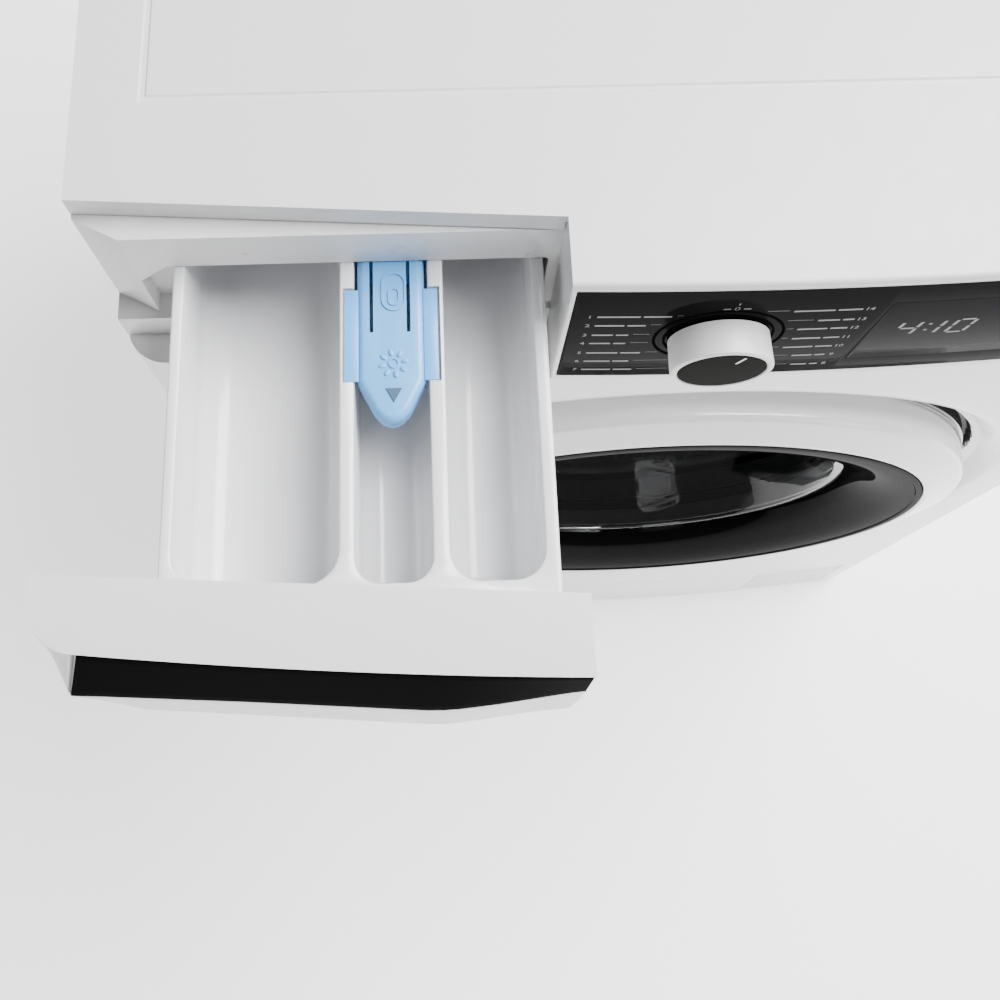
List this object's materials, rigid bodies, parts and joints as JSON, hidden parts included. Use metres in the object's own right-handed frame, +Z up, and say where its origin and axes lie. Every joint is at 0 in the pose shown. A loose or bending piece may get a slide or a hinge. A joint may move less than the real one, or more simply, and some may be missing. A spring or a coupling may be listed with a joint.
{
  "type": "front load washing machine",
  "caption": "Free-standing front load washing machine with bowed front, round glass door, programme knob and a detergent drawer stored pulled out to its stop.",
  "frame": {"origin": "on the floor under the middle of the bounding box, with the detergent drawer at its stored place, pulled out to its stop", "axes": "+X to the right of someone facing the door, +Y from the front to the back of the machine, +Z up"},
  "size_m": [0.6, 0.705, 0.85],
  "materials": {
    "painted_steel": "gloss",
    "white_plastic": "gloss",
    "black_gloss": "gloss",
    "dark_plastic": "satin",
    "grey_plastic": "satin",
    "clear_plastic": "satin",
    "blue_plastic": "satin",
    "door_glass": "gloss",
    "grey_rubber": "matte",
    "black_rubber": "matte",
    "stainless": "brushed",
    "zinc": "satin",
    "cast_alloy": "cast",
    "concrete": "rough",
    "circuit_board": "satin"
  },
  "bodies": {
    "machine": {"cabinet": "painted_steel", "front_panel": "painted_steel", "rear_cover": "zinc", "base_plate": "zinc", "plinth": "white_plastic", "top_cover": "white_plastic", "fascia": "white_plastic", "control_strip": "black_gloss", "display_window": "black_gloss", "control_board": "circuit_board", "hinge_bracket": "zinc", "door_lock": "dark_plastic", "drawer_surround": "white_plastic", "dispenser_housing": "grey_plastic", "door_gasket": "grey_rubber", "tub_front": "grey_plastic", "tub_rear": "grey_plastic", "drive_belt": "black_rubber", "motor": "zinc", "front_counterweight": "concrete", "top_counterweight": "concrete", "suspension_spring_left": "zinc", "suspension_spring_right": "zinc", "damper_left": "dark_plastic", "damper_right": "dark_plastic", "heater": "stainless", "drain_pump": "dark_plastic", "sump_hose": "grey_rubber", "drain_hose": "grey_rubber", "fill_hose": "grey_rubber", "inlet_hose": "grey_rubber", "inlet_valve": "white_plastic", "foot_front_left": "black_rubber", "foot_front_right": "black_rubber", "foot_rear_left": "black_rubber", "foot_rear_right": "black_rubber"},
    "drawer": {"drawer_front": "white_plastic", "drawer_strip": "black_gloss", "drawer_tray": "clear_plastic", "siphon_insert": "blue_plastic"},
    "door": {"door_ring": "white_plastic", "door_trim": "black_gloss", "door_glass": "door_glass", "door_frame": "grey_plastic", "hinge_arm": "zinc"},
    "latch": {"door_latch": "zinc"},
    "knob": {"programme_knob": "white_plastic", "knob_face": "dark_plastic"},
    "start": {"start_button": "white_plastic"},
    "key_1": {"option_key_1": "black_gloss"},
    "key_2": {"option_key_2": "black_gloss"},
    "drum": {"drum": "stainless", "drum_lifter_1": "stainless", "drum_lifter_2": "stainless", "drum_lifter_3": "stainless", "drum_spider": "cast_alloy", "drum_pulley": "cast_alloy"},
    "rotor": {"motor_pulley": "zinc"},
    "flap": {"filter_flap": "white_plastic"},
    "filter": {"pump_filter": "dark_plastic"}
  },
  "joints": [
    {"name": "drawer_slide", "type": "slide", "parent": "machine", "child": "drawer", "axis": [0, -1, 0], "range_m": [-0.157, 0]},
    {"name": "door_hinge", "type": "hinge", "parent": "machine", "child": "door", "pos_m": [-0.234, -0.1815, 0.446], "axis": [0, 0, -1], "range_deg": [0, 120]},
    {"name": "latch_pivot", "type": "hinge", "parent": "door", "child": "latch", "pos_m": [0.205, -0.1715, 0.446], "axis": [0, 0, 1], "range_deg": [0, 12], "stiffness_Nm_per_rad": 0.4},
    {"name": "knob_turn", "type": "hinge", "parent": "machine", "child": "knob", "pos_m": [-0.0144, -0.1955, 0.7932], "axis": [0, -1, 0], "continuous": true},
    {"name": "start_press", "type": "slide", "parent": "machine", "child": "start", "axis": [0, 1, 0], "range_m": [0, 0.0015], "stiffness_N_per_m": 500},
    {"name": "key_1_press", "type": "slide", "parent": "machine", "child": "key_1", "axis": [0, 1, 0], "range_m": [0, 0.001], "stiffness_N_per_m": 500},
    {"name": "key_2_press", "type": "slide", "parent": "machine", "child": "key_2", "axis": [0, 1, 0], "range_m": [0, 0.001], "stiffness_N_per_m": 500},
    {"name": "drum_spin", "type": "hinge", "parent": "machine", "child": "drum", "pos_m": [0, 0.1125, 0.446], "axis": [0, -1, 0], "continuous": true},
    {"name": "motor_spin", "type": "hinge", "parent": "machine", "child": "rotor", "pos_m": [0.125, 0.2805, 0.13], "axis": [0, -1, 0], "continuous": true},
    {"name": "flap_hinge", "type": "hinge", "parent": "machine", "child": "flap", "pos_m": [0.225, -0.1815, 0.0228], "axis": [1, 0, 0], "range_deg": [0, 90]},
    {"name": "filter_turn", "type": "hinge", "parent": "machine", "child": "filter", "pos_m": [0.225, -0.1375, 0.065], "axis": [0, -1, 0], "range_deg": [0, 360]}
  ],
  "couplings": [
    {"joint": "motor_spin", "follows": "drum_spin", "ratio": 11.667}
  ]
}
